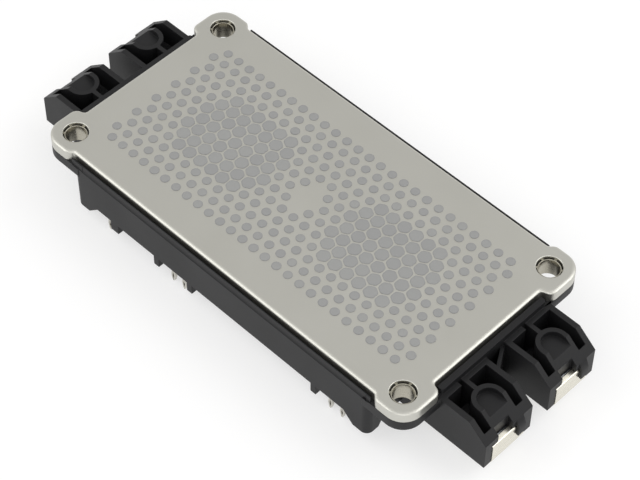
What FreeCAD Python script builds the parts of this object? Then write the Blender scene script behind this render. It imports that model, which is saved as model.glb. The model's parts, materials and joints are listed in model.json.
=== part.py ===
# Half-bridge power module in a 122 x 62 mm base-plate format, lying with its cooling face up.
# Origin: centre of the cooling face. +Z leaves the cooling face, +X runs along the module.
import FreeCAD, Part
import math
import os

V = FreeCAD.Vector
os.makedirs("parts", exist_ok=True)

# base plate, nickel-plated copper
plate_len = 122.0
plate_wid = 62.0
plate_thk = 3.0
ear_radius = 5.5
ear_shoulder = 1.8      # rounding of the ears where the drawn-in sides start
ear_reach_x = 10.2      # from the plate's end to where the long waist starts
ear_reach_left = 12.0   # from the long edge to where the waist starts, at the -X end
ear_reach_right = 12.7
waist_in_x = 2.9        # how far the ends are drawn in between the ears
waist_in_y = 1.2        # how far the long sides are drawn in
ear_slant = 1.2         # of the ear's flank on the long side
ear_drop = 0.9          # and on the end
plate_round = 0.6
bolt_edge = 6.0         # from the bolt axis to both edges
half_len = plate_len / 2
half_wid = plate_wid / 2
waist_x = half_len - waist_in_x
waist_y = half_wid - waist_in_y
ear_x = half_len - ear_reach_x
ear_y = half_wid - ear_reach_left
ear_y_right = half_wid - ear_reach_right
bolt_x = half_len - bolt_edge
bolt_y = half_wid - bolt_edge

# mounting sleeves
sleeve_bore_d = 5.3
sleeve_wall = 0.2
relief_wall = 0.1
sleeve_step = 2.4
sleeve_gap = 0.05       # round a sleeve, in the housing
plate_gap = 0.35        # round a sleeve, in the plate
sleeve_outer_d = sleeve_bore_d + 2 * sleeve_wall
sleeve_relief_d = sleeve_outer_d - 2 * relief_wall
plate_hole_d = sleeve_outer_d + 2 * plate_gap

# thermal paste print
paste_thk = 0.1
paste_edge_x = 11.6     # from the plate's ends to the outer pads' centres
paste_edge_y = 11.26
paste_rows = 13
paste_columns = 27      # in every second row, and one fewer in the others
hex_gap = 0.3
dot_ratio = 0.7         # dot size over hexagon size
pad_sides = 6
big_rows = {3: (4, 6), 4: (3, 7), 5: (3, 8), 6: (3, 7), 7: (3, 8), 8: (3, 7), 9: (4, 6)}  # first site, count
bare_rows = {5: 1, 6: 2, 7: 1}                          # empty sites in the middle, by row
pitch_x = (plate_len - 2 * paste_edge_x) / (paste_columns - 1)
pitch_y = (plate_wid - 2 * paste_edge_y) / (paste_rows - 1)
hex_flats = min(pitch_x, pitch_y * 2 / math.sqrt(3)) - hex_gap
dot_d = hex_flats * dot_ratio

# housing frame
flange_thk = 3.0
end_shoulder = 11.1     # from the plate's end to the high middle part
side_shoulder = 0.15
body_radius = 2.0
long_wall = 3.4
end_wall = 2.8
shelf_z = -13.95        # where the long walls end and the pins come out
boss_z = -17.0          # top of the corner bosses and guards
boss_flat = 4.6
boss_slope = 3.2
boss_deep = 3.9
boss_flank = 1.6        # run of the boss's slope across the module
rim_top = 1.3           # depth of the rim below the cooling face
rim_gap = 0.5
rim_wall = 0.4
rim_short = 0.7         # how far the rim stops before the body's left end
rim_ledge = 3.25
end_in = 0.6            # from the plate's end to the housing's end wall
end_wall_thk = 1.7
end_rim_in = 0.5        # from the ear's flank to the end rim
end_rim_round = 0.8
cavity_wall = 1.5
deck_in_z = -13.0
deck_z = -16.0
guard_wid = 1.75
guard_deep = 2.6
board_screw_in = 2.35
board_screw_d = 2.2
board_screw_deep = 9.0
board_screw_floor = 1.5
body_x = half_len - end_shoulder
body_y = half_wid - side_shoulder
wall_in_x = body_x - end_wall
wall_in_y = body_y - long_wall
boss_flat_x = body_x - boss_flat
boss_foot_x = boss_flat_x - boss_slope
boss_flat_y = body_y - boss_deep
boss_in_y = boss_flat_y - boss_flank
end_wall_out = half_len - end_in
end_wall_in = end_wall_out - end_wall_thk
end_half_y = ear_y
end_rim_y = {1: ear_y_right - end_rim_in, -1: ear_y - end_rim_in}
end_cavity_x = end_wall_in - cavity_wall
end_cavity_y = end_half_y - cavity_wall
board_screw_x = body_x - board_screw_in
board_screw_y = body_y - board_screw_in

# terminal blocks, two at each end
block_mid = 3.0         # half the space between the two blocks of one end
block_half = (end_half_y - block_mid) / 2
block_y = (end_half_y + block_mid) / 2
block_wall = 1.5
block_top = -3.1
block_reach = 14.0      # from the plate's end to the block's end
slope_run = 5.3
slope_end_z = -7.6
end_post = 2.0
hook_wid = 4.4
hook_low = -10.0
post_wid = 2.5
snap_in = 3.2           # from the block's side to the snap hook before the terminal
snap_wid = 3.5
snap_low = -13.0
snap_proud = 1.0
screw_in = 6.5          # from the block's end to the terminal screw
boss_r = 4.15
boss_lip = 1.2
boss_recess = 1.5
boss_skin = 1.6
boss_in = 1.75
holder_top = -9.9
holder_gap = 2.5
holder_side = 0.5
rib_wid = 1.2
ledge_wid = 1.3
ledge_break = (-1.7, 0.0)   # gap in the ledge beside the rib
brace_wid = 1.1
brace_drop = 1.2
brace_run = 4.6
block_end = half_len + block_reach
slope_start = block_end - slope_run
screw_x = block_end - screw_in
boss_end = block_end - boss_in
holder_start = end_wall_out + holder_gap

# terminals and nuts
bar_thk = 1.5
bar_proud = 0.2         # how far the folded end stands out of the block
bar_top_z = -15.5
bar_bend = 1.6
bar_hole_d = 6.6
bar_gap = 0.05
lip_top = -9.9
lip_round = 0.4
riser_in = 4.2
foot_lap = 3.0
foot_wid = 8.0
nut_flats = 10.0
nut_thk = 5.0
nut_bore_d = 5.0
nut_gap = 0.1
screw_room_d = 6.2
bar_wid = 2 * (block_half - post_wid)
bar_end = block_end + bar_proud
bar_low_z = bar_top_z - bar_thk
riser_x = end_wall_in - riser_in

# control pins
pin_inset = 1.9
pin_tip_z = -20.5
pin_thk = 0.8
pin_wid = 1.0
pin_eye_wid = 1.5
pin_eye_slot = 0.5
pin_eye_start = 16.9
pin_eye_mid = 18.5
pin_tip_wid = 0.7
pin_tip_len = 0.4
pin_pitch = 3.8
pin_left_in = 10.4      # from the body's left end to the first pin
pin_right_in = 9.4
pin_pair_x = -14.75
pin_gap = 0.03
guard_left = 3.55       # from the pins to the guards beside them
guard_left_wid = 2.7
guard_pair = (-6.15, 5.5)
guard_right = 8.0
guard_far = 6.2
pin_row_y = body_y - pin_inset
pin_left = pin_left_in - body_x
pin_right = body_x - pin_right_in
pin_near = (pin_left, pin_pair_x - pin_pitch / 2, pin_pair_x + pin_pitch / 2, pin_right - pin_pitch, pin_right)
pin_far = (-pin_pitch / 2, pin_pitch / 2)
guards_near = ((pin_left + guard_left, guard_left_wid), (pin_pair_x + guard_pair[0], guard_wid),
               (pin_pair_x + guard_pair[1], guard_wid), (pin_right - guard_right, guard_wid))
guards_far = ((-guard_far, guard_wid), (guard_far, guard_wid))

# substrates and chips
sub_edge_x = 3.1
sub_edge_y = 5.45
sub_gap = 2.0
solder_thk = 0.2
copper_thk = 0.3
ceramic_thk = 0.38
copper_edge = 1.0
island_in = 0.5
island_edge = 5.0
island_gap = 0.8
pad_half = 1.2
pad_lap = 1.4
chip_thk = 0.3
chip_edge = 2.0
chip_gap = 1.5
diode_len = 7.0
diode_edge = 3.5
ribbon_wid = 1.6
ribbon_thk = 0.3
ribbon_rise = 1.4
ribbon_y = (-3.0, 3.0)
link_len = 5.0
link_wid = 2.1
link_in = 0.4
link_thk = 0.6
ntc_wid = 0.6
ntc_thk = 0.6
ntc_lap = 0.4
sub_len = (2 * (wall_in_x - sub_edge_x) - 2 * sub_gap) / 3
sub_wid = 2 * (wall_in_y - sub_edge_y)
sub_pitch = sub_len + sub_gap
sub_x = (-sub_pitch, 0.0, sub_pitch)
copper_half = sub_len / 2 - copper_edge
island_out = sub_wid / 2 - island_edge
pad_in = island_out + island_gap
pad_out = sub_wid / 2 - copper_edge
pin_foot_y = pad_in + pad_lap
igbt_len = 2 * copper_half - diode_len - chip_edge - chip_gap - diode_edge
igbt_off = chip_edge + igbt_len / 2 - copper_half
diode_off = copper_half - diode_edge - diode_len / 2
chip_y = (island_in + island_out) / 2
chip_wid = 12.0
foot_end = sub_pitch + sub_len / 2 - foot_lap
track_z = -plate_thk - solder_thk - copper_thk - ceramic_thk - copper_thk

# lid and gel
lid_thk = 1.5
lid_seat = 0.6
lid_gap = 0.2
lid_skirt = 1.2
lid_skirt_wall = 1.2
gel_z = -9.5
reach = 5.0             # how far cutting tools run past the solid


def box(x0, x1, y0, y1, z0, z1):
    lo = V(min(x0, x1), min(y0, y1), min(z0, z1))
    return Part.makeBox(abs(x1 - x0), abs(y1 - y0), abs(z1 - z0), lo)


def prism(points, along):
    """Solid swept from a flat outline, given as points, along a vector."""
    face = Part.Face(Part.makePolygon([V(*p) for p in points + points[:1]]))
    return face.extrude(along)


def cyl(x, y, z0, z1, d):
    return Part.makeCylinder(d / 2, abs(z1 - z0), V(x, y, min(z0, z1)))


def ngon(x, y, z0, z1, across, sides, turn):
    """Upright prism on a regular polygon, measured across its flats."""
    r = across / 2 / math.cos(math.pi / sides)
    ring = [turn + 2 * math.pi * k / sides for k in range(sides)]
    points = [(x + r * math.cos(a), y + r * math.sin(a), z0) for a in ring]
    return prism(points, V(0, 0, z1 - z0))


def join(shapes):
    body = shapes[0].fuse(shapes[1:]) if len(shapes) > 1 else shapes[0]
    return body.removeSplitter()


def flip_x(s):
    return s.mirror(V(0, 0, 0), V(1, 0, 0))


def flip_y(s):
    return s.mirror(V(0, 0, 0), V(0, 1, 0))


def four(s):
    right = [s, flip_y(s)]
    return right + [flip_x(r) for r in right]


def save(shape, name):
    shape.exportStep("parts/" + name + ".step")


def is_upright(e):
    a = e.valueAt(e.FirstParameter)
    b = e.valueAt(e.LastParameter)
    return abs(a.x - b.x) < 1e-6 and abs(a.y - b.y) < 1e-6


def upright_at(shape, x, y):
    """The upright edges at one distance from both middle planes, one to a corner."""
    found = []
    for e in shape.Edges:
        p = e.valueAt(e.FirstParameter)
        if is_upright(e) and abs(abs(p.x) - x) < 1e-6 and abs(abs(p.y) - y) < 1e-6:
            found.append(e)
    return found


def edges_at(shape, x, z):
    """The edges that lie across the module at one x and z."""
    found = []
    for e in shape.Edges:
        b = e.BoundBox
        if max(abs(b.XMin - x), abs(b.XMax - x), abs(b.ZMin - z), abs(b.ZMax - z)) < 1e-6:
            found.append(e)
    return found


def rounded_slab(hx, hy, r, z0, z1):
    slab = box(-hx, hx, -hy, hy, z0, z1)
    return slab.makeFillet(r, [e for e in slab.Edges if is_upright(e)])


def ear_slab(z0, z1):
    """Plan of the plate, a rectangle drawn in between its corner ears, as a solid."""
    upper = []
    for side, inner in ((1, ear_y_right), (-1, ear_y)):
        ear = [(waist_x, inner), (half_len, inner + ear_drop), (half_len, half_wid),
               (ear_x + ear_slant, half_wid), (ear_x, waist_y)]
        upper += [(side * x, y) for x, y in (ear if side > 0 else reversed(ear))]
    outline = upper + [(x, -y) for x, y in reversed(upper)]
    slab = prism([(x, y, z0) for x, y in outline], V(0, 0, z1 - z0))
    for x, r in ((half_len, ear_radius), (ear_x + ear_slant, ear_shoulder)):
        slab = slab.makeFillet(r, upright_at(slab, x, half_wid))
    return slab


def bolt_places():
    return [(sx * bolt_x, sy * bolt_y) for sx in (-1, 1) for sy in (-1, 1)]


def base_plate():
    plate = ear_slab(-plate_thk, 0)
    rim = [e for e in plate.Edges if max(abs(e.BoundBox.ZMin), abs(e.BoundBox.ZMax)) < 1e-6]
    plate = plate.makeChamfer(plate_round, rim)
    return plate.cut([cyl(x, y, -plate_thk, 0, plate_hole_d) for x, y in bolt_places()])


def sleeve(x, y):
    """Steel tube through the flange and the plate, its bore wider at the housing's side."""
    low = -plate_thk - flange_thk
    ring = cyl(x, y, low, 0, sleeve_outer_d)
    return ring.cut([cyl(x, y, low, 0, sleeve_bore_d), cyl(x, y, low, -sleeve_step, sleeve_relief_d)])


def paste_print():
    """Staggered rows of small dots, with two fields of large hexagons over the chips."""
    pads = []
    for row in range(paste_rows):
        sites = paste_columns - 1 + row % 2
        middle = (sites - 1) / 2
        y = ((paste_rows - 1) / 2 - row) * pitch_y
        first, count = big_rows.get(row, (0, 0))
        for site in range(sites):
            if abs(site - middle) < bare_rows.get(row, 0) / 2:
                continue
            large = first <= min(site, sites - 1 - site) < first + count
            across = hex_flats if large else dot_d
            pads.append(ngon((site - middle) * pitch_x, y, 0, paste_thk, across, pad_sides, math.pi / pad_sides))
    return Part.makeCompound(pads)


def slope_z(x):
    """Height of the sloped upper edge of a terminal block at x."""
    return block_top + (x - slope_start) * (slope_end_z - block_top) / slope_run


def block_side(x0, x1, y0, y1, low):
    """A wall of a terminal block whose upper edge runs level and then down the slope."""
    points = [(x0, y0, low), (x1, y0, low)]
    if x1 > slope_start:
        bend = max(slope_start, x0)
        points += [(x1, y0, slope_z(x1)), (bend, y0, slope_z(bend))]
    else:
        points += [(x1, y0, block_top)]
    if x0 < slope_start:
        points += [(x0, y0, block_top)]
    return prism(points, V(0, y1 - y0, 0))


def tombstone(r, x_end, z0, z1):
    """Half round with straight sides that run to x_end, as a solid."""
    lo = block_y - r
    hi = block_y + r
    arc = Part.Arc(V(screw_x, hi, z0), V(screw_x - r, block_y, z0), V(screw_x, lo, z0)).toShape()
    sides = Part.makePolygon([V(screw_x, lo, z0), V(x_end, lo, z0), V(x_end, hi, z0), V(screw_x, hi, z0)])
    return Part.Face(Part.Wire([arc] + sides.Edges)).extrude(V(0, 0, z1 - z0))


def nut_boss():
    """Closed dome over the screw's end, with a shallow recess in its face."""
    column = tombstone(boss_r, boss_end, holder_top, block_top)
    far = block_end + reach
    above = prism([(slope_start, 0, block_top), (far, 0, slope_z(far)), (far, 0, reach),
                   (slope_start, 0, reach)], V(0, 2 * block_y, 0))
    recess = tombstone(boss_r - boss_lip, far, block_top - boss_recess, block_top)
    x1 = block_end - end_post
    cheeks = []
    for y in (block_y - boss_r, block_y + boss_r - boss_lip):
        cheeks.append(block_side(screw_x, x1, y, y + boss_lip, hook_low))
    return join([column.cut(above).cut(recess)] + cheeks)


def end_hooks():
    """End wall of a block: two corner posts and, before the terminal, the hook it snaps behind."""
    x0 = block_end - end_post
    y1 = block_y + block_half - snap_in
    parts = [block_side(x0, block_end + snap_proud, y1 - snap_wid, y1, snap_low)]
    for s in (-1, 1):
        outer = block_y + s * block_half
        for wid, low in ((hook_wid, hook_low), (post_wid, deck_z)):
            inner = outer - s * wid
            parts.append(block_side(x0, block_end, min(outer, inner), max(outer, inner), low))
    return join(parts)


def all_blocks():
    """The four blocks: the two of one end are alike, and the other end mirrors them."""
    block = terminal_block()
    right = [block, block.translated(V(0, -2 * block_y, 0))]
    return right + [flip_x(b) for b in right]


def terminal_block():
    """One open-topped box at the +X, +Y corner, with its nut boss, rib and inner ledge."""
    lo = block_y - block_half
    hi = block_y + block_half
    x0 = end_wall_in
    parts = [block_side(x0, block_end, lo, lo + block_wall, deck_z)]
    parts.append(block_side(x0, block_end, hi - block_wall, hi, deck_z))
    parts.append(end_hooks())
    parts.append(nut_boss())
    rib_end = screw_x - boss_r + boss_lip / 2
    parts.append(box(x0, rib_end, block_y - rib_wid / 2, block_y + rib_wid / 2, bar_top_z, block_top))
    parts.append(box(holder_start, boss_end, lo + holder_side, hi - holder_side, bar_top_z, holder_top))
    for y0, y1 in ((lo, block_y + ledge_break[0]), (block_y + ledge_break[1], hi)):
        parts.append(box(end_wall_out, end_wall_out + ledge_wid, y0, y1, bar_top_z, block_top))
    return join(parts)


def nut_room():
    """What the frame leaves free for the nut and for the screw's end above it."""
    top = bar_top_z + nut_thk + nut_gap
    seat = ngon(screw_x, block_y, bar_top_z - nut_gap, top, nut_flats + 2 * nut_gap, 6, math.pi / 6)
    screw = ngon(screw_x, block_y, bar_top_z, block_top - boss_recess - boss_skin, screw_room_d, 6, math.pi / 6)
    return seat.fuse(screw)


def strip(x0, x1, z0, z1, wid):
    """Flat bar along a terminal, centred on its block."""
    return box(x0, x1, block_y - wid / 2, block_y + wid / 2, z0, z1)


def terminal_bar():
    """Copper terminal at the +X, +Y corner, from its folded end down to the substrate."""
    body = join([strip(end_wall_out, bar_end, bar_low_z, bar_top_z, bar_wid),
                 strip(bar_end - bar_thk, bar_end, bar_low_z, lip_top, bar_wid),
                 strip(riser_x, end_wall_out, bar_low_z, bar_top_z, foot_wid),
                 strip(riser_x, riser_x + bar_thk, bar_low_z, track_z, foot_wid),
                 strip(foot_end, riser_x + bar_thk, track_z - bar_thk, track_z, foot_wid)])
    body = body.makeFillet(bar_bend, edges_at(body, bar_end, bar_low_z))
    body = body.makeFillet(lip_round, edges_at(body, bar_end, lip_top))
    return body.cut(cyl(screw_x, block_y, bar_low_z, bar_top_z, bar_hole_d))


def bar_room():
    """What the frame leaves free for a terminal, with the fitting gap all round."""
    g = bar_gap
    low = bar_low_z - g
    wide = bar_wid + 2 * g
    neck = foot_wid + 2 * g
    out = bar_end + g
    return [strip(end_wall_out - g, out, low, bar_top_z + g, wide),
            strip(riser_x - g, end_wall_out, low, bar_top_z + g, neck),
            strip(riser_x - g, riser_x + bar_thk + g, low, track_z, neck),
            strip(bar_end - bar_thk - g, out, low, lip_top + g, wide)]


def nut():
    body = ngon(screw_x, block_y, bar_top_z, bar_top_z + nut_thk, nut_flats, 6, math.pi / 6)
    return body.cut(cyl(screw_x, block_y, bar_top_z, bar_top_z + nut_thk, nut_bore_d))


def guard(x, wid, side):
    return box(x - wid / 2, x + wid / 2, side * (body_y - guard_deep), side * body_y, boss_z, shelf_z)


def corner_boss():
    """Corner pillar that carries a circuit board, its two inner flanks sloped."""
    along = [(boss_foot_x, boss_in_y, shelf_z), (boss_flat_x, boss_in_y, boss_z),
             (body_x, boss_in_y, boss_z), (body_x, boss_in_y, shelf_z)]
    across = [(boss_foot_x, boss_in_y, shelf_z), (boss_foot_x, boss_flat_y, boss_z),
              (boss_foot_x, body_y, boss_z), (boss_foot_x, body_y, shelf_z)]
    pillar = prism(along, V(0, body_y - boss_in_y, 0)).common(prism(across, V(body_x - boss_foot_x, 0, 0)))
    return pillar.common(rounded_slab(body_x, body_y, body_radius, boss_z, shelf_z))


def boss_core():
    """Material that stays round a board screw inside the cavity."""
    return box(boss_foot_x, body_x, boss_in_y, body_y, shelf_z - reach, boss_z + board_screw_deep + board_screw_floor)


def frame_shell():
    """Middle body, ends, corner flanges and rims of the housing, before the blocks go on."""
    low = -plate_thk
    body = rounded_slab(body_x, body_y, body_radius, shelf_z, low)
    ends = box(-end_wall_out, end_wall_out, -end_half_y, end_half_y, deck_z, low)
    flange = rounded_slab(half_len, half_wid, ear_radius, low - flange_thk, low)
    flange = flange.cut([box(body_radius - body_x, body_x - body_radius, -half_wid, half_wid, low - flange_thk, low),
                         box(-half_len, half_len, -end_half_y, end_half_y, low - flange_thk, low)])
    shell = join([body, ends, flange])
    rims = []
    for s in (-1, 1):
        y0 = s * (waist_y + rim_gap)
        y1 = y0 + s * rim_wall
        shell = shell.cut(box(-body_x, body_x, y1, s * half_wid, -rim_ledge, 0))
        rims.append(box(rim_short - body_x, body_x, y0, y1, -rim_ledge, -rim_top))
        end = box(s * end_wall_in, s * end_wall_out, -end_rim_y[s], end_rim_y[s], low, -rim_top)
        corners = [e for e in end.Edges if is_upright(e) and abs(e.BoundBox.XMin) > end_wall_out - end_wall_thk / 2]
        rims.append(end.makeFillet(end_rim_round, corners))
    return join([shell] + rims)


def brace():
    """Slanted bar between the two blocks of the +X end."""
    x0 = end_wall_out - brace_wid
    x1 = x0 + brace_run
    y = block_mid + block_wall / 2
    low = deck_z
    return prism([(x0, y, low), (x0 + brace_wid, y, low), (x1 + brace_wid, -y, low), (x1, -y, low)],
                 V(0, 0, block_top - brace_drop - low))


def housing_frame():
    low = -plate_thk
    parts = [frame_shell(), brace()] + all_blocks() + four(corner_boss())
    parts += [guard(x, wid, -1) for x, wid in guards_near] + [guard(x, wid, 1) for x, wid in guards_far]
    room = box(-wall_in_x, wall_in_x, -wall_in_y, wall_in_y, shelf_z - reach, low)
    bay = box(-end_cavity_x, end_cavity_x, -end_cavity_y, end_cavity_y, deck_in_z, low)
    cuts = [room.cut(four(boss_core())), bay]
    for group in four(Part.makeCompound(bar_room() + [nut_room()])):
        cuts += group.Solids
    for x, y in bolt_places():
        cuts.append(cyl(x, y, low - flange_thk, low, sleeve_outer_d + 2 * sleeve_gap))
    cuts += four(cyl(board_screw_x, board_screw_y, boss_z, boss_z + board_screw_deep, board_screw_d))
    for x, side in pin_places():
        cuts += pin_room(x, side)
    return join(parts).cut(cuts).removeSplitter()


def pin_places():
    return [(x, -1) for x in pin_near] + [(x, 1) for x in pin_far]


def pin_room(x, side):
    """Slots in the wall for a pin's shaft and for its foot."""
    half = pin_wid / 2 + pin_gap
    inner = side * (pin_row_y - pin_thk / 2 - pin_gap)
    outer = side * (pin_row_y + pin_thk / 2 + pin_gap)
    shaft = box(x - half, x + half, inner, outer, shelf_z, track_z + pin_gap)
    foot = box(x - half, x + half, side * wall_in_y, outer, track_z - pin_thk - pin_gap, track_z + pin_gap)
    return [shaft, foot]


def pin(x, side):
    """Press-fit control pin: foot on the substrate, shaft in the wall, sprung eye and tip."""
    w = pin_wid / 2
    e = pin_eye_wid / 2
    t = pin_tip_wid / 2
    shoulder = pin_tip_z + pin_tip_len
    half = [(w, track_z), (w, -pin_eye_start), (e, -pin_eye_mid), (t, shoulder), (t / 2, pin_tip_z)]
    outline = half + [(-px, pz) for px, pz in reversed(half)]
    h = pin_eye_slot / 2
    slot = [(0, -pin_eye_start - h), (-h, -pin_eye_mid), (0, shoulder + h), (h, -pin_eye_mid)]
    y0 = side * pin_row_y - pin_thk / 2
    blade, eye = [prism([(x + px, y0, pz) for px, pz in line], V(0, pin_thk, 0)) for line in (outline, slot)]
    foot = box(x - w, x + w, side * pin_foot_y, side * pin_row_y, track_z - pin_thk, track_z)
    return join([blade.cut(eye), foot])


def layers(xc):
    """Solder, back copper and ceramic of one substrate, from the plate outwards."""
    z = -plate_thk
    out = []
    for edge, thk in ((copper_edge, solder_thk), (copper_edge, copper_thk), (0.0, ceramic_thk)):
        hx = sub_len / 2 - edge
        hy = sub_wid / 2 - edge
        out.append(box(xc - hx, xc + hx, -hy, hy, z - thk, z))
        z -= thk
    return out


def tracks(xc):
    """Copper islands of one substrate: one for each switch, and a pad for each control pin."""
    z1 = track_z + copper_thk
    parts = []
    for s in (-1, 1):
        parts.append(box(xc - copper_half, xc + copper_half, s * island_in, s * island_out, track_z, z1))
    for x, side in pin_places():
        if abs(x - xc) < copper_half:
            x0 = max(x - pad_half, xc - copper_half)
            x1 = min(x + pad_half, xc + copper_half)
            parts.append(box(x0, x1, side * pad_in, side * pad_out, track_z, z1))
    return Part.makeCompound(parts)


def turn(xc):
    """Which way round a substrate lies: the one at the -X end is turned about."""
    return 1 if xc >= 0 else -1


def chips(xc, off, length):
    x = xc + turn(xc) * off
    out = []
    for s in (-1, 1):
        y = s * chip_y
        out.append(box(x - length / 2, x + length / 2, y - chip_wid / 2, y + chip_wid / 2, track_z - chip_thk, track_z))
    return Part.makeCompound(out)


def ribbon(x0, x1, z, y):
    """Aluminium bond: a flat strip that arches from one chip to the next."""
    seat = ribbon_wid / 2 * math.copysign(1, x1 - x0)
    top = z - ribbon_rise
    near = [(x0 - seat, z), (x0 + seat, z), (x0 + 2 * seat, top + ribbon_thk)]
    far = [(x1 - 2 * seat, top + ribbon_thk), (x1 - seat, z), (x1 + seat, z)]
    back = [(x1 + seat, z - ribbon_thk), (x1 - 2 * seat, top), (x0 + 2 * seat, top), (x0 - seat, z - ribbon_thk)]
    return prism([(px, y - ribbon_wid / 2, pz) for px, pz in near + far + back], V(0, ribbon_wid, 0))


def ribbons(xc):
    x0 = xc + turn(xc) * igbt_off
    x1 = xc + turn(xc) * diode_off
    out = []
    for s in (-1, 1):
        for dy in ribbon_y:
            out.append(ribbon(x0, x1, track_z - chip_thk, s * chip_y + dy))
    return Part.makeCompound(out)


def links():
    """Copper straps that join the islands of neighbouring substrates."""
    out = []
    for x in (-sub_pitch / 2, sub_pitch / 2):
        for s in (-1, 1):
            y = s * (island_in + link_in)
            out.append(box(x - link_len / 2, x + link_len / 2, y, y + s * link_wid, track_z - link_thk, track_z))
    return Part.makeCompound(out)


def thermistor():
    """Small resistor that bridges the two pads of the far row of pins."""
    half = pin_pitch / 2 - pad_half + ntc_lap
    return box(-half, half, pad_in, pad_in + ntc_wid, track_z - ntc_thk, track_z)


def lid():
    """Flat cover of the middle cavity, notched round the board bosses, with a skirt below."""
    hx = wall_in_x - lid_gap
    hy = wall_in_y - lid_gap
    edge = wall_in_y + lid_seat
    skirt_top = shelf_z + lid_skirt
    plate = box(-hx, hx, -edge, edge, shelf_z - lid_thk, shelf_z)
    skirt = box(-hx, hx, -hy, hy, shelf_z, skirt_top)
    hx -= lid_skirt_wall
    hy -= lid_skirt_wall
    skirt = skirt.cut(box(-hx, hx, -hy, hy, shelf_z, skirt_top))
    notch = box(boss_foot_x - lid_gap, body_x, boss_in_y - lid_gap, body_y, shelf_z - lid_thk, skirt_top)
    return join([plate, skirt]).cut(four(notch))


def gel(inside):
    """Soft potting over the substrates, up to its own level, round everything it covers."""
    room = box(-wall_in_x, wall_in_x, -wall_in_y, wall_in_y, gel_z, -plate_thk)
    bay = box(-end_cavity_x, end_cavity_x, -end_cavity_y, end_cavity_y, gel_z, -plate_thk)
    return join([room.cut(four(boss_core())), bay]).cut(inside)


save(base_plate(), "base_plate")
save(paste_print(), "thermal_paste_print")
save(housing_frame(), "housing_frame")
save(lid(), "housing_lid")
for k, (x, y) in enumerate(bolt_places(), 1):
    save(sleeve(x, y), "mounting_sleeve_%d" % k)

inside = four(terminal_bar())
for name, bar in zip(("terminal_ac_1", "terminal_ac_2", "terminal_dc_plus", "terminal_dc_minus"), inside):
    save(bar, name)
for k, body in enumerate(four(nut()), 1):
    save(body, "terminal_nut_%d" % k)
for k, (x, side) in enumerate(pin_places(), 1):
    body = pin(x, side)
    save(body, "control_pin_%d" % k)
    inside.append(body)

names = ("substrate_solder_%d", "substrate_back_copper_%d", "substrate_ceramic_%d", "substrate_tracks_%d",
         "igbt_chips_%d", "diode_chips_%d", "bond_ribbons_%d")
for k, xc in enumerate(sub_x, 1):
    bodies = layers(xc) + [tracks(xc), chips(xc, igbt_off, igbt_len), chips(xc, diode_off, diode_len), ribbons(xc)]
    for name, body in zip(names, bodies):
        save(body, name % k)
        inside += body.Solids
for name, body in (("substrate_links", links()), ("thermistor", thermistor())):
    save(body, name)
    inside += body.Solids
save(gel(inside), "silicone_gel")
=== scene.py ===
import json
import math
import random

import bpy
from mathutils import Matrix, Vector


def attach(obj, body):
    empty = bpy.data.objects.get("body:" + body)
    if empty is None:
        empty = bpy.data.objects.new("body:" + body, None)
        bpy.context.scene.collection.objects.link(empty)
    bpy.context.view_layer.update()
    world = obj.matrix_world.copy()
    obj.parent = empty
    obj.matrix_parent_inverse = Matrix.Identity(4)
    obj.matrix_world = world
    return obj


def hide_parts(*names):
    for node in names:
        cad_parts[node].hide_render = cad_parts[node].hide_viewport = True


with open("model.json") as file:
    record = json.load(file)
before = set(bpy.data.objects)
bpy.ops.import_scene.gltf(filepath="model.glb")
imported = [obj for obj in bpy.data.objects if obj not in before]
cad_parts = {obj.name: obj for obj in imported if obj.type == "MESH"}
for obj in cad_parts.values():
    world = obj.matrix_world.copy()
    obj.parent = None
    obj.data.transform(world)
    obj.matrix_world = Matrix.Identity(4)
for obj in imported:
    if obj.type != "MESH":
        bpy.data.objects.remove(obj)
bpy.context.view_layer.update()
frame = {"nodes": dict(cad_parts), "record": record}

# ---------------------------------------------------------------------------------------------
# Base plate: a 3 mm copper plate that spreads the heat, stamped to its outline with four ears
# for the bolts, then nickel plated all over. The stamping leaves the upper edge well rounded.
# ---------------------------------------------------------------------------------------------
# All sizes are in millimetres. Points nearer to each other than `touching` count as one place.
mm = 0.001
touching = 0.02
merge_gap = 0.002
smooth_angle = 32
round_steps = 2.5
fewest_steps = 4

# The plate's outline, one quarter at a time; the two ends differ by a little.
plate_half_x = 61.0
plate_half_y = 31.0
plate_thick = 3.0
plate_flat_angle = 0.05
ear_radius = 5.5
shoulder_round = 1.8
waist_round = 1.0
end_round = 2.2
waist_y = 29.62
waist_x = {1: 58.1, -1: 58.3}
ear_x = 50.5
ear_slant = 1.5
ear_inner = {1: 18.3, -1: 19.0}
ear_drop = 0.9
# Its edges and holes.
die_roll = 1.1
die_roll_deep = 0.5
lower_edge_r = 0.12
bolt_x = 55.0
bolt_y = 25.0
plate_hole_r = 3.2
hole_edge_r = 0.25
hole_sides = 64


def only(piece):
    """Selects one object alone and makes it the active one."""
    bpy.ops.object.select_all(action="DESELECT")
    piece.select_set(True)
    bpy.context.view_layer.objects.active = piece


def block(name, low, high):
    """A box between two corners, in millimetres, as the start of a piece."""
    bpy.ops.object.select_all(action="DESELECT")
    middle = [(a + b) / 2 * mm for a, b in zip(low, high)]
    size = [(b - a) * mm for a, b in zip(low, high)]
    bpy.ops.mesh.primitive_cube_add(size=1, location=middle, scale=size)
    made = bpy.context.object
    made.name = made.data.name = name
    bpy.ops.object.transform_apply(location=True, rotation=True, scale=True)
    return made


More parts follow.
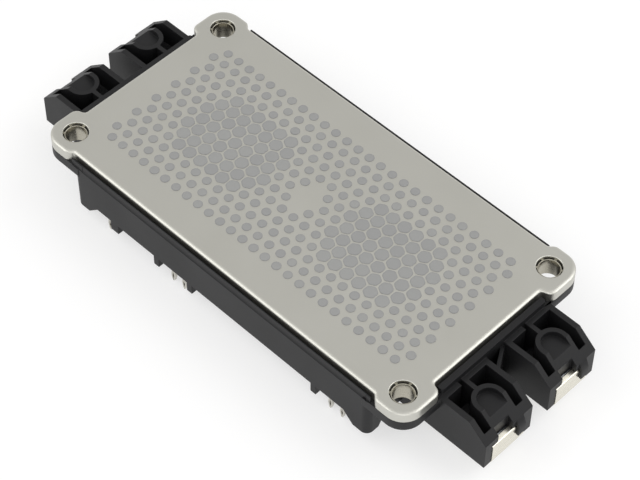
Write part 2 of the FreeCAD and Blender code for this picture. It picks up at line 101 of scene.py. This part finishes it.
def rounded(corners):
    """Turns corners given as (x, y, radius) into the points of an outline with round corners."""
    points = []
    for k, (x, y, radius) in enumerate(corners):
        here = Vector((x, y))
        back = (Vector(corners[k - 1][:2]) - here).normalized()
        ahead = (Vector(corners[(k + 1) % len(corners)][:2]) - here).normalized()
        half = back.angle(ahead) / 2
        centre = here + (back + ahead).normalized() * radius / math.sin(half)
        start = (here + back * radius / math.tan(half) - centre).normalized()
        end = (here + ahead * radius / math.tan(half) - centre).normalized()
        steps = max(fewest_steps, round(round_steps * radius))
        points += [centre + start.slerp(end, i / steps) * radius for i in range(steps + 1)]
    return points


def slab(name, outline, z0, z1):
    """A flat piece between two heights, in millimetres, from the points of its outline."""
    bpy.ops.object.select_all(action="DESELECT")
    bpy.ops.mesh.primitive_circle_add(vertices=len(outline), fill_type="NGON")
    made = bpy.context.object
    made.name = made.data.name = name
    for point, (x, y) in zip(made.data.vertices, outline):
        point.co = (x * mm, y * mm, z0 * mm)
    bpy.ops.object.mode_set(mode="EDIT")
    bpy.ops.mesh.select_all(action="SELECT")
    bpy.ops.mesh.extrude_region_move(TRANSFORM_OT_translate={"value": (0, 0, (z1 - z0) * mm)})
    bpy.ops.mesh.select_all(action="SELECT")
    bpy.ops.mesh.normals_make_consistent(inside=False)
    bpy.ops.object.mode_set(mode="OBJECT")
    return made


def rod(name, x, y, z0, z1, radius, sides):
    """An upright cylinder, in millimetres, as the start of a round piece or of a drill."""
    bpy.ops.object.select_all(action="DESELECT")
    bpy.ops.mesh.primitive_cylinder_add(
        vertices=sides, radius=radius * mm, depth=(z1 - z0) * mm,
        location=(x * mm, y * mm, (z0 + z1) / 2 * mm))
    made = bpy.context.object
    made.name = made.data.name = name
    bpy.ops.object.transform_apply(location=True, rotation=True, scale=True)
    return made


def select_none(mesh):
    """Takes the selection off all points, edges and faces of a mesh."""
    for group in (mesh.vertices, mesh.edges, mesh.polygons):
        group.foreach_set("select", [False] * len(group))


def round_edges(piece, wanted, radius, steps):
    """Rounds the edges whose two ends are wanted; ends and radius are in millimetres."""
    only(piece)
    mesh = piece.data
    bpy.context.tool_settings.mesh_select_mode = (False, True, False)
    select_none(mesh)
    for edge in mesh.edges:
        a, b = (mesh.vertices[i].co / mm for i in edge.vertices)
        edge.select = wanted(a, b)
    bpy.ops.object.mode_set(mode="EDIT")
    bpy.ops.mesh.bevel(
        offset=radius * mm, offset_type="OFFSET", segments=steps, affect="EDGES",
        clamp_overlap=False)
    bpy.ops.object.mode_set(mode="OBJECT")


def cut_away(piece, cutter):
    """Takes a cutter's shape out of a piece and removes the cutter."""
    only(piece)
    cut = piece.modifiers.new("cut", "BOOLEAN")
    cut.operation = "DIFFERENCE"
    cut.solver = "EXACT"
    cut.object = cutter
    bpy.ops.object.modifier_apply(modifier=cut.name)
    bpy.data.objects.remove(cutter)


def clean(piece, flat_angle=0.5):
    """Merges doubled points, joins faces that lie flat together, and turns all faces outwards."""
    only(piece)
    bpy.ops.object.mode_set(mode="EDIT")
    bpy.ops.mesh.select_all(action="SELECT")
    bpy.ops.mesh.remove_doubles(threshold=merge_gap * mm)
    bpy.ops.mesh.dissolve_limited(angle_limit=math.radians(flat_angle))
    bpy.ops.mesh.normals_make_consistent(inside=False)
    bpy.ops.object.mode_set(mode="OBJECT")


def finish_piece(piece, material, slot, *nodes):
    """Smooths the shading of a piece, dresses it, and ties it to the part."""
    only(piece)
    bpy.ops.object.shade_smooth_by_angle(angle=math.radians(smooth_angle))
    flats = piece.modifiers.new("flats", "WEIGHTED_NORMAL")
    flats.keep_sharp = True
    flats.weight = 100
    bpy.ops.object.modifier_apply(modifier=flats.name)
    piece.data.materials.clear()
    piece.data.materials.append(material)
    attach(piece, "root")
    if nodes:
        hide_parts(*nodes)


def linear(hex_colour):
    """An sRGB hex colour as Blender's linear red, green, blue and alpha."""
    parts = [int(hex_colour[i:i + 2], 16) / 255 for i in (1, 3, 5)]
    return [c / 12.92 if c <= 0.04045 else ((c + 0.055) / 1.055) ** 2.4 for c in parts] + [1.0]


def add_node(tree, kind, settings, inputs):
    """Adds a node; each input takes a value, or is linked where it is given a node's output."""
    made = tree.nodes.new("ShaderNode" + kind)
    for name, value in settings.items():
        setattr(made, name, value)
    for name, value in inputs.items():
        if isinstance(value, bpy.types.NodeSocket):
            tree.links.new(value, made.inputs[name])
        else:
            made.inputs[name].default_value = value
    return made


def new_material(name, inputs):
    """A material with one Principled shader whose constant values stand on its own sockets."""
    made = bpy.data.materials.new(name)
    made.use_nodes = True
    tree = made.node_tree
    tree.nodes.clear()
    shader = add_node(tree, "BsdfPrincipled", {}, inputs)
    add_node(tree, "OutputMaterial", {}, {"Surface": shader.outputs["BSDF"]})
    place = add_node(tree, "TexCoord", {}, {}).outputs["Object"]
    return made, tree, shader, place


def vary(tree, shader, inputs):
    """Links the outputs of nodes to the shader's inputs."""
    for name, output in inputs.items():
        tree.links.new(output, shader.inputs[name])


def clouds(tree, place, size, detail, roughness=0.5):
    """Soft random clouds whose size is given in millimetres."""
    made = add_node(tree, "TexNoise", {}, {
        "Vector": place, "Scale": 1 / (size * mm), "Detail": detail, "Roughness": roughness})
    return made.outputs["Fac"]


def two_tones(tree, amount, first, second):
    """Two hex colours, mixed by an amount that varies."""
    made = add_node(tree, "MixRGB", {}, {
        "Fac": amount, "Color1": linear(first), "Color2": linear(second)})
    return made.outputs["Color"]


def between(tree, amount, low, high):
    """A value that runs between low and high with an amount that varies."""
    made = add_node(tree, "MapRange", {}, {"Value": amount, "To Min": low, "To Max": high})
    return made.outputs["Result"]


def relief(tree, height, strength, depth):
    """A fine relief whose depth is given in millimetres."""
    made = add_node(tree, "Bump", {}, {
        "Height": height, "Strength": strength, "Distance": depth * mm})
    return made.outputs["Normal"]


# Dull nickel plating on stamped copper: a warm light grey metal with a satin sheen. It is not
# quite even: cloudy over centimetres, and faintly grained at the 0.4 mm of the rolled sheet.
nickel, tree, shader, place = new_material("satin_nickel_plating", {"Metallic": 1.0})
bath = clouds(tree, place, 22, 3.0, 0.55)
grain = clouds(tree, place, 0.4, 2.0)
vary(tree, shader, {
    "Base Color": two_tones(tree, bath, "#c7c6be", "#cdccc5"),
    "Roughness": between(tree, bath, 0.36, 0.44),
    "Normal": relief(tree, grain, 0.12, 0.01)})

outline = []
for sx, sy in ((1, 1), (-1, 1), (-1, -1), (1, -1)):
    inner = ear_inner[sx]
    ear = [(waist_x[sx], inner, waist_round), (plate_half_x, inner + ear_drop, end_round),
           (plate_half_x, plate_half_y, ear_radius),
           (ear_x + ear_slant, plate_half_y, shoulder_round), (ear_x, waist_y, waist_round)]
    outline += [(sx * x, sy * y, r) for x, y, r in (ear if sx * sy > 0 else reversed(ear))]
plate = slab("nickel_base_plate", rounded(outline), -plate_thick, 0)
round_edges(plate, lambda a, b: min(a.z, b.z) > -touching, die_roll, 7)
for point in plate.data.vertices:
    if point.co.z > -plate_thick / 2 * mm:
        point.co.z *= die_roll_deep / die_roll
round_edges(plate, lambda a, b: max(a.z, b.z) < touching - plate_thick, lower_edge_r, 2)
bolt_places = [(sx * bolt_x, sy * bolt_y) for sx in (-1, 1) for sy in (-1, 1)]
for x, y in bolt_places:
    cut_away(plate, rod("plate_drill", x, y, -plate_thick - 1, 1, plate_hole_r, hole_sides))
clean(plate, plate_flat_angle)


def at_hole(point):
    """Whether a point lies on the upper edge of a bolt hole."""
    return point.z > -touching and any(
        abs(math.hypot(point.x - x, point.y - y) - plate_hole_r) < touching for x, y in bolt_places)


round_edges(plate, lambda a, b: at_hole(a) and at_hole(b), hole_edge_r, 3)
finish_piece(plate, nickel, "nickel_plate", "base_plate")

# ---------------------------------------------------------------------------------------------
# Thermal paste: a grey heat-conducting paste, screen printed on the plate as 340 separate pads
# 0.1 mm thick. Dots cover the plate, and hexagons close together lie over the chips.
# ---------------------------------------------------------------------------------------------
# The print: 13 rows of 26 and 27 sites in turn, with hexagons towards both ends of some rows.
pitch_x = 3.80
pitch_y = 3.29
rows = 13
short_row = 26
hexagons = {3: (4, 6), 4: (3, 7), 5: (3, 8), 6: (3, 7), 7: (3, 8), 8: (3, 7), 9: (4, 6)}
bare_sites = {5: 1, 6: 2, 7: 1}
# One pad: its outline, its rounded edges, and the tones of its rim and its middle. The darker rim
# is painted shade of the pad's edge.
dot_r = 1.225
dot_sides = 16
hex_flats = 3.38
hex_corner = 0.5
pad_thick = 0.1
pad_edge = 0.05
shaded_rim_width = 0.42
rim_shade_tone = 0.65
core_tone = 0.9
# How much the pads differ from each other.
dry_tones = (0.72, 0.98)
dot_sizes = (0.97, 1.03)
hexagon_sizes = (0.99, 1.01)
print_error = 0.03

# Silicone paste filled with oxide powder: cool mid grey, matt with a faint wet sheen. Each pad is
# a little darker at its rim, as painted shade of its edge, and powder grains of 0.15 mm show as a
# very fine mottle.
paste, tree, shader, place = new_material(
    "screen_printed_thermal_paste", {"Roughness": 0.5, "IOR": 1.45})
core = add_node(tree, "Attribute", {"attribute_name": "core"}, {}).outputs["Fac"]
powder = clouds(tree, place, 0.15, 2.0)
body = two_tones(tree, clouds(tree, place, 9, 1.0), "#9d9e9d", "#a1a19e")
# Painted shade: each pad's rim is mixed towards the darker grey. Each pad's random tone shifts
# along the same mix.
rim_shaded = add_node(tree, "MixRGB", {}, {"Fac": core, "Color1": linear("#8c8c8e"), "Color2": body})
mottle = add_node(tree, "MixRGB", {"blend_type": "MULTIPLY"}, {
    "Fac": 0.12, "Color1": rim_shaded.outputs["Color"], "Color2": powder})
vary(tree, shader, {
    "Base Color": mottle.outputs["Color"],
    "Normal": relief(tree, powder, 0.25, 0.01)})


def looks_up(face):
    """Whether a face looks up, away from the plate."""
    return face.normal.z > 0.9


def top_face(pad):
    """The largest face of a pad that looks up."""
    return max(pad.data.polygons, key=lambda face: face.area if looks_up(face) else 0)


def paste_pad(name, radius, sides, corner):
    """One pad at the origin: a low prism with rounded edges and a rim marked for painted shade."""
    pad = rod(name, 0, 0, 0, pad_thick, radius, sides)
    if corner:
        round_edges(pad, lambda a, b: abs(a.z - b.z) > pad_thick / 2, corner, 3)
    only(pad)
    bpy.context.tool_settings.mesh_select_mode = (False, False, True)
    for face in pad.data.polygons:
        face.select = looks_up(face)
    bpy.ops.object.mode_set(mode="EDIT")
    bpy.ops.mesh.bevel(offset=pad_edge * mm, segments=2, affect="EDGES")
    bpy.ops.object.mode_set(mode="OBJECT")
    select_none(pad.data)
    top_face(pad).select = True
    bpy.ops.object.mode_set(mode="EDIT")
    bpy.ops.mesh.inset(thickness=shaded_rim_width * mm, depth=0)
    bpy.ops.object.mode_set(mode="OBJECT")
    # The rim's points get the painted shade tone, and the middle's points get the full tone.
    tones = pad.data.attributes.new("core", "FLOAT", "POINT")
    tones.data.foreach_set("value", [rim_shade_tone] * len(pad.data.vertices))
    for k in top_face(pad).vertices:
        tones.data[k].value = core_tone
    return pad


def copy_of(model, name):
    """A new object with a copy of another one's mesh."""
    made = bpy.data.objects.new(name, model.data.copy())
    bpy.context.collection.objects.link(made)
    return made


def merge(pieces, name):
    """Joins several objects into one piece."""
    only(pieces[0])
    for piece in pieces:
        piece.select_set(True)
    bpy.ops.object.join()
    pieces[0].name = pieces[0].data.name = name
    return pieces[0]


dot = paste_pad("dot", dot_r, dot_sides, 0)
hexagon = paste_pad("hexagon", hex_flats / math.sqrt(3), 6, hex_corner)
draw = random.Random(4)
dryness = random.Random(9)
pads = []
for row in range(rows):
    sites = short_row + row % 2
    middle = (sites - 1) / 2
    first, count = hexagons.get(row, (0, 0))
    for site in range(sites):
        if abs(site - middle) < bare_sites.get(row, 0) / 2:
            continue
        model = hexagon if first <= min(site, sites - 1 - site) < first + count else dot
        pad = copy_of(model, "pad")
        shade = dryness.uniform(*dry_tones)
        for spot in pad.data.attributes["core"].data:
            spot.value *= shade
        spread = draw.uniform(*(dot_sizes if model is dot else hexagon_sizes))
        x = (site - middle) * pitch_x + draw.uniform(-print_error, print_error)
        y = ((rows - 1) / 2 - row) * pitch_y + draw.uniform(-print_error, print_error)
        move = Matrix.Translation((x * mm, y * mm, 0))
        pad.data.transform(move @ Matrix.Diagonal((spread, spread, 1, 1)))
        pads.append(pad)
for model in (dot, hexagon):
    bpy.data.objects.remove(model)
pads = merge(pads, "thermal_paste_pads")
finish_piece(pads, paste, "thermal_paste", "thermal_paste_print")

# ---------------------------------------------------------------------------------------------
# Mounting sleeves: four rolled and plated steel tubes that carry the bolts' force through the
# plastic. Each is pressed into a plate hole, centred by six small ribs round its outside.
# ---------------------------------------------------------------------------------------------
sleeve_low = -6.0
sleeve_top = -0.7
sleeve_outer = 2.88
sleeve_bore = 2.6
sleeve_relief = 2.75
sleeve_step = -2.4
sleeve_sides = 64
step_slope = 0.1
top_turned = 0.05
foot_turned = 0.03
foot_rise = 0.08
mouth_wide = 0.06
mouth_deep = 0.1
mouth_bend = (0.02, 0.03)
rib_angles = (34, 103, 162, 216, 275, 334)
rib_reach = 3.19
rib_root = 0.1
rib_half = 0.3
rib_below = 0.05
rib_round = 0.06


def lathe(name, profile, steps):
    """Spins a closed profile of (radius, height) points, in millimetres, round the Z axis."""
    bpy.ops.object.select_all(action="DESELECT")
    bpy.ops.mesh.primitive_circle_add(vertices=len(profile), fill_type="NOTHING")
    made = bpy.context.object
    made.name = made.data.name = name
    for point, (radius, height) in zip(made.data.vertices, profile):
        point.co = (radius * mm, 0, height * mm)
    bpy.ops.object.mode_set(mode="EDIT")
    bpy.ops.mesh.select_all(action="SELECT")
    bpy.ops.mesh.spin(steps=steps, angle=math.tau, center=(0, 0, 0), axis=(0, 0, 1))
    bpy.ops.mesh.select_all(action="SELECT")
    bpy.ops.mesh.remove_doubles(threshold=merge_gap * mm)
    bpy.ops.mesh.normals_make_consistent(inside=False)
    bpy.ops.object.mode_set(mode="OBJECT")
    return made


def stretched(tree, place, scale):
    """Places scaled along each axis, so that clouds on them draw out into lines."""
    made = add_node(tree, "Mapping", {}, {"Vector": place, "Scale": scale})
    return made.outputs["Vector"]


# Nickel over drawn steel: brighter and smoother than the plate, with fine rings round the tube
# from its forming, and warm where it mirrors the room.
sleeve_metal, tree, shader, place = new_material("bright_nickel_on_steel", {"Metallic": 1.0})
rings = clouds(tree, stretched(tree, place, (0.2, 0.2, 1.0)), 0.35, 2.0)
vary(tree, shader, {
    "Base Color": two_tones(tree, rings, "#a9a597", "#bdb9ac"),
    "Roughness": between(tree, rings, 0.22, 0.36),
    "Normal": relief(tree, rings, 0.15, 0.02)})

sleeve = lathe("sleeve", [
    (sleeve_bore + mouth_wide, sleeve_top),
    (sleeve_outer - top_turned, sleeve_top),
    (sleeve_outer, sleeve_top - top_turned),
    (sleeve_outer, sleeve_low + foot_rise),
    (sleeve_outer - foot_turned, sleeve_low),
    (sleeve_relief, sleeve_low),
    (sleeve_relief, sleeve_step - step_slope),
    (sleeve_bore, sleeve_step),
    (sleeve_bore, sleeve_top - mouth_deep),
    (sleeve_bore + mouth_bend[0], sleeve_top - mouth_bend[1])], sleeve_sides)
ribs = []
for angle in rib_angles:
    rib = block("rib", (sleeve_outer - rib_root, -rib_half, -plate_thick),
                (rib_reach, rib_half, sleeve_top - rib_below))
    round_edges(rib, lambda a, b: min(a.x, b.x) > sleeve_outer, rib_round, 2)
    rib.data.transform(Matrix.Rotation(math.radians(angle), 4, "Z"))
    ribs.append(rib)
sleeve = merge([sleeve] + ribs, "sleeve")
for k, (x, y) in enumerate(bolt_places, 1):
    tube = copy_of(sleeve, "bolt_sleeve_%d" % k)
    tube.data.transform(Matrix.Translation((x * mm, y * mm, 0)))
    finish_piece(tube, sleeve_metal, "sleeve_metal", "mounting_sleeve_%d" % k)
bpy.data.objects.remove(sleeve)

# ---------------------------------------------------------------------------------------------
# Housing frame and lid: two mouldings of black glass-filled polyamide. The frame carries the
# terminals, the pins and the plate. Its corners are rounded by a tenth, and its walls are matt.
# ---------------------------------------------------------------------------------------------
moulded_round = 0.1
sharp_angle = 38
# The long rims beside the plate, and how far each end of them reaches on towards its ear.
rim_start = -49.2
rim_end = 49.9
rim_longer = {-1: 1.2, 1: 0.4}
rim_middle = 30.5
rim_half = 0.22
rim_top = -1.3
rim_foot = -3.3
rim_reach = 51.0
rim_raise = 0.15
# The snap hooks before the terminals, each cut down to a low catch with a sloped top.
hook_y = (12.3, -9.7)
hook_before = 0.3
hook_behind = 4.0
hook_root = 74.5
hook_face = 75.0
hook_bend = 75.03
hook_beyond = 77.0
hook_head = -2.0
hook_edge = -7.63
hook_foot = -21.0
hook_trim = 1.1
hook_lead = 2.4
# The ledge under the near rim, and the small chamfer along it.
ledge_start = -46.5
ledge_end = 49.0
ledge_inner = -30.6
ledge_beyond = -30.9
ledge_low = -3.6
ledge_high = -1.0
ledge_rise = 0.45

# Glass-filled polyamide: near-black with a grey bloom where it catches the light. The mould was
# spark eroded to a grain of about 0.12 mm, and flow makes it slightly uneven over centimetres.
plastic, tree, shader, place = new_material(
    "moulded_black_polyamide", {"IOR": 1.5, "Specular IOR Level": 0.3})
flow = clouds(tree, place, 14, 3.0)
erosion = clouds(tree, place, 0.12, 3.0)
vary(tree, shader, {
    "Base Color": two_tones(tree, flow, "#151517", "#1c1c1d"),
    "Roughness": between(tree, flow, 0.42, 0.54),
    "Normal": relief(tree, erosion, 0.22, 0.02)})


def rounded_copy(node_name, name, radius, reshape=None):
    """A copy of a CAD node with its loose triangles joined and its sharp edges rounded."""
    made = copy_of(frame["nodes"][node_name], name)
    clean(made)
    if reshape:
        reshape(made)
    edge = made.modifiers.new("round", "BEVEL")
    edge.width = radius * mm
    edge.segments = 2
    edge.limit_method = "ANGLE"
    edge.angle_limit = math.radians(sharp_angle)
    edge.use_clamp_overlap = False
    bpy.ops.object.modifier_apply(modifier=edge.name)
    return made


def past_end(name, side, x, low, high):
    """A cutter from x out past one end of the module, between two corners of (y, z)."""
    near, far = sorted((side * x, side * hook_beyond))
    return block(name, (near, *low), (far, *high))


def shape_housing(made):
    """Draws the long rims out to the ears, cuts the snap hooks low, and chamfers the near ledge."""
    for point in made.data.vertices:
        x, y, z = point.co / mm
        on_rim = abs(abs(y) - rim_middle) < rim_half
        if on_rim and z > rim_foot and min(abs(x - rim_start), abs(x - rim_end)) < touching:
            point.co.x += math.copysign(rim_longer[1 if x > 0 else -1] * mm, x)
        if on_rim and y > 0 and abs(z - rim_top) < touching and abs(x) < rim_reach:
            point.co.z += rim_raise * mm
    for side in (-1, 1):
        for y in hook_y:
            start = y - hook_before
            cut_away(made, past_end("hook_side_cut", side, hook_face,
                                    (start, hook_foot), (y + hook_trim, hook_head)))
            above = past_end("hook_cut", side, hook_root,
                             (start, hook_edge), (y + hook_behind, hook_head))
            for point in above.data.vertices:
                if point.co.z < (hook_edge + hook_head) / 2 * mm:
                    point.co.z -= (abs(point.co.x) - hook_bend * mm) * hook_lead
            cut_away(made, above)
    chamfer = block("rim_chamfer", (ledge_start, ledge_beyond, ledge_low),
                    (ledge_end, ledge_inner, ledge_high))
    for point in chamfer.data.vertices:
        x, y, z = point.co / mm
        if z < (ledge_low + ledge_high) / 2 and y > (ledge_inner + ledge_beyond) / 2:
            point.co.z += ledge_rise * mm
    cut_away(made, chamfer)
    clean(made)


housing = rounded_copy("housing_frame", "moulded_housing", moulded_round, shape_housing)
finish_piece(housing, plastic, "black_plastic", "housing_frame")
lid = rounded_copy("housing_lid", "moulded_lid", moulded_round)
finish_piece(lid, plastic, "black_plastic", "housing_lid")

# ---------------------------------------------------------------------------------------------
# Screw terminals: four punched and folded copper bars, bright nickel plated. The outer end is
# folded round a nut, and the inner end goes down to the substrates inside.
# ---------------------------------------------------------------------------------------------
bar_round = 0.12
lip_start = 73.7
lip_low = -10.4
lip_slope = 0.18

# Bright nickel over rolled copper: the lightest and smoothest metal of the module, with the
# fine lines of the rolling in it.
terminal_metal, tree, shader, place = new_material("bright_nickel_on_copper", {"Metallic": 1.0})
rolling = clouds(tree, stretched(tree, place, (1.0, 0.06, 1.0)), 0.3, 2.0)
vary(tree, shader, {
    "Base Color": two_tones(tree, rolling, "#dcd8ca", "#e9e6da"),
    "Roughness": between(tree, rolling, 0.2, 0.34),
    "Normal": relief(tree, rolling, 0.15, 0.02)})


def slope_lip(made):
    """Tilts the top of the folded lip outwards."""
    for point in made.data.vertices:
        if point.co.z > lip_low * mm and abs(point.co.x) > lip_start * mm:
            point.co.z -= (abs(point.co.x) - lip_start * mm) * lip_slope


for node_name in ("terminal_ac_1", "terminal_ac_2", "terminal_dc_plus", "terminal_dc_minus"):
    bar = rounded_copy(node_name, node_name + "_bar", bar_round, slope_lip)
    finish_piece(bar, terminal_metal, "terminal_metal", node_name)

# ---------------------------------------------------------------------------------------------
# Nuts: four M6 steel nuts, zinc plated, loose in their pockets behind the terminals. Their
# corners are turned off on both faces, and their bores stand behind the terminals' holes.
# ---------------------------------------------------------------------------------------------
nut_round = 0.3

# Zinc plating on steel: a bluish light grey metal, mottled by zinc crystals of half a
# millimetre that take the light differently.
zinc, tree, shader, place = new_material("zinc_plated_steel", {"Metallic": 1.0})
crystals = add_node(tree, "TexVoronoi", {}, {"Vector": place, "Scale": 1 / (0.5 * mm)})
vary(tree, shader, {
    "Base Color": two_tones(tree, crystals.outputs["Distance"], "#b9bcc0", "#a9adb3"),
    "Roughness": between(tree, crystals.outputs["Distance"], 0.3, 0.42)})

for k in range(1, 5):
    nut = rounded_copy("terminal_nut_%d" % k, "m6_nut_%d" % k, nut_round)
    finish_piece(nut, zinc, "nut_steel", "terminal_nut_%d" % k)

# ---------------------------------------------------------------------------------------------
# Control pins: seven press-fit pins stamped from bronze strip and tin plated. Each ends in a
# sprung eye that grips the circuit board's plated hole.
# ---------------------------------------------------------------------------------------------
pin_round = 0.1

# Tin over bronze: a warm light grey metal, hazed in patches of about half a millimetre.
tin, tree, shader, place = new_material("tin_plated_bronze", {"Metallic": 1.0})
haze = clouds(tree, place, 0.6, 2.0)
vary(tree, shader, {
    "Base Color": two_tones(tree, haze, "#c2bfb6", "#d3d1ca"),
    "Roughness": between(tree, haze, 0.28, 0.42)})

for k in range(1, 8):
    pin = rounded_copy("control_pin_%d" % k, "press_fit_pin_%d" % k, pin_round)
    finish_piece(pin, tin, "pin_metal", "control_pin_%d" % k)

# ---------------------------------------------------------------------------------------------
# Inside: three ceramic substrates with copper on both sides, soldered to the plate, with their
# chips and bonds, all under a soft gel. None of it shows in a whole module.
# ---------------------------------------------------------------------------------------------
# Each row gives a material's name, its constant values, its two tones, and the size of the
# clouds between them in millimetres.
inner_looks = {
    # Tin solder, melted and set in the oven: a hazy, cool grey metal.
    "solder": ("reflowed_tin_solder", {"Metallic": 1.0, "Roughness": 0.35},
               "#b4b6ba", "#a2a4a9", 1.5),
    # Copper foil, etched to its tracks and left bare: salmon with duller patches.
    "bare_copper": ("etched_bare_copper", {"Metallic": 1.0, "Roughness": 0.4},
                    "#d98f6c", "#c67d5c", 3.0),
    # Alumina, fired to a tile: a chalky off-white.
    "ceramic": ("fired_alumina_ceramic", {"Roughness": 0.6}, "#ece9df", "#e2dfd3", 2.0),
    # Silicon, sawn from a polished wafer: dark grey and almost as smooth as a mirror.
    "silicon": ("polished_silicon_chip", {"Roughness": 0.15}, "#4c4f59", "#5b5e68", 4.0),
    # Soft pure aluminium ribbon: pale, and scuffed where the bonding tool pressed it.
    "bond_aluminium": ("soft_bond_aluminium", {"Metallic": 1.0, "Roughness": 0.35},
                       "#d6d8da", "#c5c8ca", 0.8),
    # The sensor's fired oxide body: a dull, greenish near-black.
    "thermistor_body": ("fired_thermistor_body", {"Roughness": 0.5}, "#3a3f3c", "#474d49", 0.4),
    # Silicone gel: clear, wet on its surface, and slightly milky.
    "gel": ("clear_silicone_gel",
            {"Roughness": 0.12, "IOR": 1.41, "Transmission Weight": 0.85},
            "#e8e6dc", "#dedccf", 12.0),
}
inner_materials = {}
for slot_name, (name, values, first_tone, second_tone, size) in inner_looks.items():
    made, tree, shader, place = new_material(name, values)
    patches = clouds(tree, place, size, 2.0)
    vary(tree, shader, {"Base Color": two_tones(tree, patches, first_tone, second_tone)})
    inner_materials[slot_name] = made
for subpart in frame["record"]["subparts"]:
    if subpart["material_slot"] in inner_materials:
        mesh = frame["nodes"][subpart["node"]].data
        mesh.materials.clear()
        mesh.materials.append(inner_materials[subpart["material_slot"]])

# ---------------------------------------------------------------------------------------------
# Studio: a pale sweep under and behind the module, a broad softbox at each side of it and a
# smaller one in front, light walls all round, and the camera at the photograph's place.
# ---------------------------------------------------------------------------------------------
floor_z = -20.5
floor_half = 3000
floor_glow = 0.6
wall_height = 0.6
wall_low = 0.92
wall_high = 0.68
mirrored_room = 0.56

# Matt background paper. Only the camera, gloss and clear pieces see its glow, so it looks pale
# without lighting the module from below.
sweep, tree, shader, place = new_material("white_studio_sweep", {
    "Base Color": linear("#aeaeae"), "Roughness": 0.9, "Specular IOR Level": 0.0,
    "Emission Color": (1, 1, 1, 1)})
ray = add_node(tree, "LightPath", {}, {})
direct = add_node(tree, "Math", {}, {
    0: ray.outputs["Is Camera Ray"], 1: ray.outputs["Is Glossy Ray"]})
seen = add_node(tree, "Math", {"use_clamp": True}, {
    0: direct.outputs[0], 1: ray.outputs["Is Transmission Ray"]})
glow = add_node(tree, "Math", {"operation": "MULTIPLY"}, {0: seen.outputs[0], 1: floor_glow})
vary(tree, shader, {"Emission Strength": glow.outputs[0]})

bpy.ops.object.select_all(action="DESELECT")
bpy.ops.mesh.primitive_plane_add(size=2 * floor_half * mm, location=(0, 0, floor_z * mm))
floor = bpy.context.object
floor.name = "studio_floor"
bpy.ops.object.transform_apply(location=True, rotation=True, scale=True)
floor.data.materials.append(sweep)

world = bpy.data.worlds.new("studio_room")
world.use_nodes = True
bpy.context.scene.world = world
tree = world.node_tree
tree.nodes.clear()
ray = add_node(tree, "LightPath", {}, {})
way = add_node(tree, "TexCoord", {}, {})
up = add_node(tree, "SeparateXYZ", {}, {"Vector": way.outputs["Generated"]})
wall = add_node(tree, "MapRange", {}, {
    "Value": up.outputs["Z"], "From Max": wall_height, "To Min": wall_low, "To Max": wall_high})
level = add_node(tree, "Mix", {}, {
    0: ray.outputs["Is Glossy Ray"], 2: mirrored_room, 3: wall.outputs["Result"]})
room = add_node(tree, "Background", {}, {
    "Color": (1.0, 0.995, 0.985, 1), "Strength": level.outputs[0]})
white = add_node(tree, "Background", {}, {"Color": (1, 1, 1, 1), "Strength": 1.0})
both = add_node(tree, "MixShader", {}, {
    0: ray.outputs["Is Camera Ray"], 1: room.outputs[0], 2: white.outputs[0]})
add_node(tree, "OutputWorld", {}, {"Surface": both.outputs[0]})


def soft_lamp(name, place, size, power):
    """A square softbox, placed in millimetres, that faces the module's centre."""
    lamp = bpy.data.objects.new(name, bpy.data.lights.new(name, "AREA"))
    bpy.context.collection.objects.link(lamp)
    lamp.data.size = size * mm
    lamp.data.energy = power
    lamp.location = Vector(place) * mm
    lamp.rotation_euler = (-Vector(place)).to_track_quat("-Z", "Y").to_euler()


soft_lamp("right_softbox", (450, 450, 640), 700, 2.7)
soft_lamp("left_softbox", (-450, -450, 640), 700, 2.3)
soft_lamp("front_softbox", (420, -430, 560), 600, 1.3)

camera = bpy.data.objects.new("camera", bpy.data.cameras.new("camera"))
bpy.context.collection.objects.link(camera)
camera.data.sensor_width = 36.0
camera.data.lens = 121.32
camera_place = Vector((232.686, -236.057, 395.988))
right = Vector((0.71354896, 0.70057744, 0.00625563))
down = Vector((0.54871406, -0.55327749, -0.62673511))
ahead = Vector((-0.43561537, 0.45063874, -0.77920727))
turn = Matrix((right, -down, -ahead)).transposed()
camera.matrix_world = Matrix.Translation(camera_place * mm) @ turn.to_4x4()
bpy.context.scene.camera = camera
bpy.context.scene.view_settings.view_transform = "Standard"
